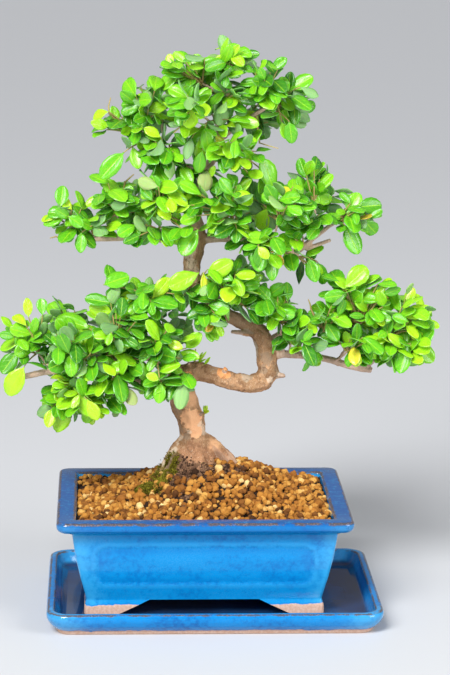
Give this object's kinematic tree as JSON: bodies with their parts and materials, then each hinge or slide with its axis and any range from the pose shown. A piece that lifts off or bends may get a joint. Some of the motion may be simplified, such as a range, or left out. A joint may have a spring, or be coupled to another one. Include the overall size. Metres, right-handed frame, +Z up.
{
  "type": "sweet plum bonsai",
  "caption": "Sweet plum bonsai with an S-curved trunk and small glossy leaves, mounded in ochre soil in a blue glazed rectangular pot on its drip tray.",
  "frame": {"origin": "centre of the drip tray's flat base, on the surface it stands on", "axes": "+Z up along the tree, +X to the right along the pot's long side, -Y towards the front of the tree"},
  "size_m": [0.3101, 0.168, 0.4025],
  "materials": {
    "tray_glaze": "glossy blue glaze over an unglazed buff clay base",
    "pot_glaze": "glossy mottled blue glaze, darker on the rim, bare buff clay on the feet",
    "akadama_soil": "dry matte ochre grains",
    "bark": "flaking tan bark with salmon patches where flakes have dropped",
    "foliage": "glossy green leaves, the young ones yellow-green"
  },
  "bodies": {
    "root": {"drip_tray": "tray_glaze", "pot": "pot_glaze", "soil": "akadama_soil", "trunk": "bark", "crown_top": "foliage", "crown_left_high": "foliage", "crown_left_mid": "foliage", "crown_left_low": "foliage", "crown_front": "foliage", "crown_right_high": "foliage", "crown_right_tip": "foliage", "crown_front_low": "foliage", "crown_left_under": "foliage", "crown_back": "foliage", "crown_back_right": "foliage", "crown_back_left": "foliage", "shelf_left_tip": "foliage", "shelf_left_mid": "foliage", "shelf_left_root": "foliage", "shelf_left_back": "foliage", "shelf_right_root": "foliage", "shelf_right_mid": "foliage", "shelf_right_high": "foliage", "shelf_right_tip": "foliage", "shelf_right_low": "foliage", "shelf_right_drop": "foliage", "shelf_right_back": "foliage", "shelf_right_back_tip": "foliage", "waist_left": "foliage", "waist_mid": "foliage", "waist_right": "foliage", "waist_back": "foliage", "waist_low": "foliage", "low_left_tip": "foliage", "low_left_outer": "foliage", "low_left_mid": "foliage", "low_left_root": "foliage", "low_left_under": "foliage", "low_left_drop": "foliage", "low_left_high": "foliage", "low_left_back_tip": "foliage", "low_left_back": "foliage", "low_left_back_root": "foliage", "low_left_hang": "foliage", "low_right_root": "foliage", "low_right_mid": "foliage", "low_right_high": "foliage", "low_right_tip": "foliage", "low_right_tip_low": "foliage", "low_right_under": "foliage", "low_right_front": "foliage", "low_right_back": "foliage"}
  },
  "joints": []
}
